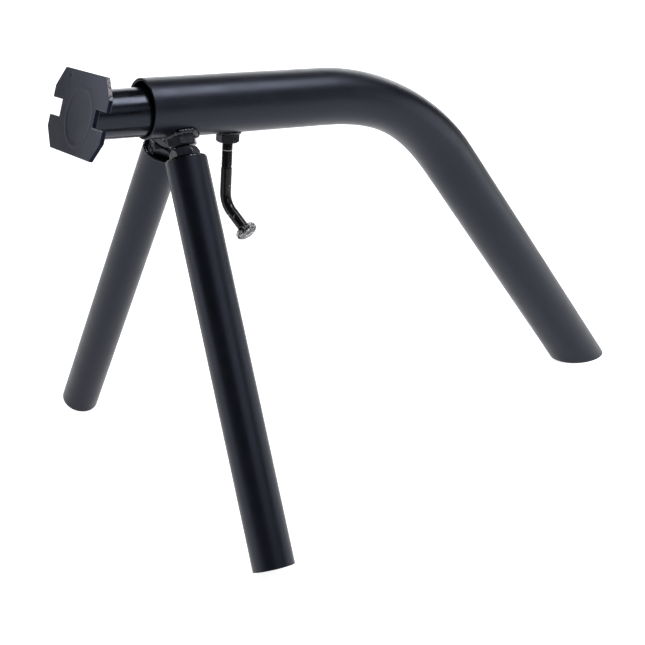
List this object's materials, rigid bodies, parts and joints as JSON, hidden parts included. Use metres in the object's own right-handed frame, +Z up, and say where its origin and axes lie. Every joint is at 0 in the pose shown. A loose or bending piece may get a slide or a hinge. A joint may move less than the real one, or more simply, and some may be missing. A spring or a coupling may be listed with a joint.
{
  "type": "bike repair stand",
  "caption": "Low tripod repair stand of bent heavy steel tube with screw-in legs and a clamped, sliding mast that carries an eight-sided slotted plate.",
  "frame": {"origin": "on the floor, at the centre of the bounding box seen from above", "axes": "+X from the head plate towards the rear foot, +Y towards the far leg, +Z up"},
  "size_m": [0.7681, 0.5114, 0.4885],
  "materials": {
    "black_tube": "satin",
    "mast_paint": "semi-gloss",
    "plate_paint": "satin",
    "black_hardware": "gloss",
    "worn_screw": "worn gloss",
    "black_plug": "matte"
  },
  "bodies": {
    "frame": {"main_tube": "black_tube", "clamp_nut": "black_hardware", "clamp_nut_weld": "black_hardware", "near_leg_nut": "black_hardware", "near_leg_nut_weld": "black_hardware", "far_leg_nut": "black_hardware", "far_leg_nut_weld": "black_hardware"},
    "mast_carriage": {"mast_end_plug": "black_plug"},
    "mast": {"mast_tube": "mast_paint", "head_plate": "plate_paint", "mast_weld": "black_hardware"},
    "clamp_carriage": {"clamp_screw": "worn_screw"},
    "clamp_handle": {"clamp_handle": "worn_screw"},
    "near_leg_carriage": {"near_leg_stud": "black_hardware"},
    "near_leg": {"near_leg_tube": "black_tube", "near_leg_cap": "black_hardware", "near_leg_cap_weld": "black_hardware", "near_leg_lock_nut": "black_hardware"},
    "far_leg_carriage": {"far_leg_stud": "black_hardware"},
    "far_leg": {"far_leg_tube": "black_tube", "far_leg_cap": "black_hardware", "far_leg_cap_weld": "black_hardware", "far_leg_lock_nut": "black_hardware"}
  },
  "joints": [
    {"name": "mast_extend", "type": "slide", "parent": "frame", "child": "mast_carriage", "axis": [-0.9966, 0, 0.0819], "range_m": [-0.05, 0.05]},
    {"name": "mast_turn", "type": "hinge", "parent": "mast_carriage", "child": "mast", "pos_m": [-0.29878, 0, 0.43641], "axis": [-0.9966, 0, 0.0819], "continuous": true},
    {"name": "clamp_travel", "type": "slide", "parent": "frame", "child": "clamp_carriage", "axis": [0.0819, 0, 0.9966], "range_m": [-0.00875, 0]},
    {"name": "clamp_turn", "type": "hinge", "parent": "clamp_carriage", "child": "clamp_handle", "pos_m": [-0.20092, 0, 0.36114], "axis": [0.0819, 0, 0.9966], "range_deg": [-1802, 2]},
    {"name": "near_leg_travel", "type": "slide", "parent": "frame", "child": "near_leg_carriage", "axis": [-0.0715, -0.4894, -0.8691], "range_m": [0, 0.01016]},
    {"name": "near_leg_turn", "type": "hinge", "parent": "near_leg_carriage", "child": "near_leg", "pos_m": [-0.25962, 0, 0.43068], "axis": [-0.0715, -0.4894, -0.8691], "range_deg": [-2, 1442]},
    {"name": "far_leg_travel", "type": "slide", "parent": "frame", "child": "far_leg_carriage", "axis": [-0.0715, 0.4894, -0.8691], "range_m": [0, 0.01016]},
    {"name": "far_leg_turn", "type": "hinge", "parent": "far_leg_carriage", "child": "far_leg", "pos_m": [-0.25962, 0, 0.43068], "axis": [-0.0715, 0.4894, -0.8691], "range_deg": [-2, 1442]}
  ],
  "couplings": [
    {"joint": "clamp_turn", "follows": "clamp_travel", "rad_per_m": 3590.4},
    {"joint": "near_leg_turn", "follows": "near_leg_travel", "rad_per_m": 2473.7},
    {"joint": "far_leg_turn", "follows": "far_leg_travel", "rad_per_m": 2473.7}
  ]
}
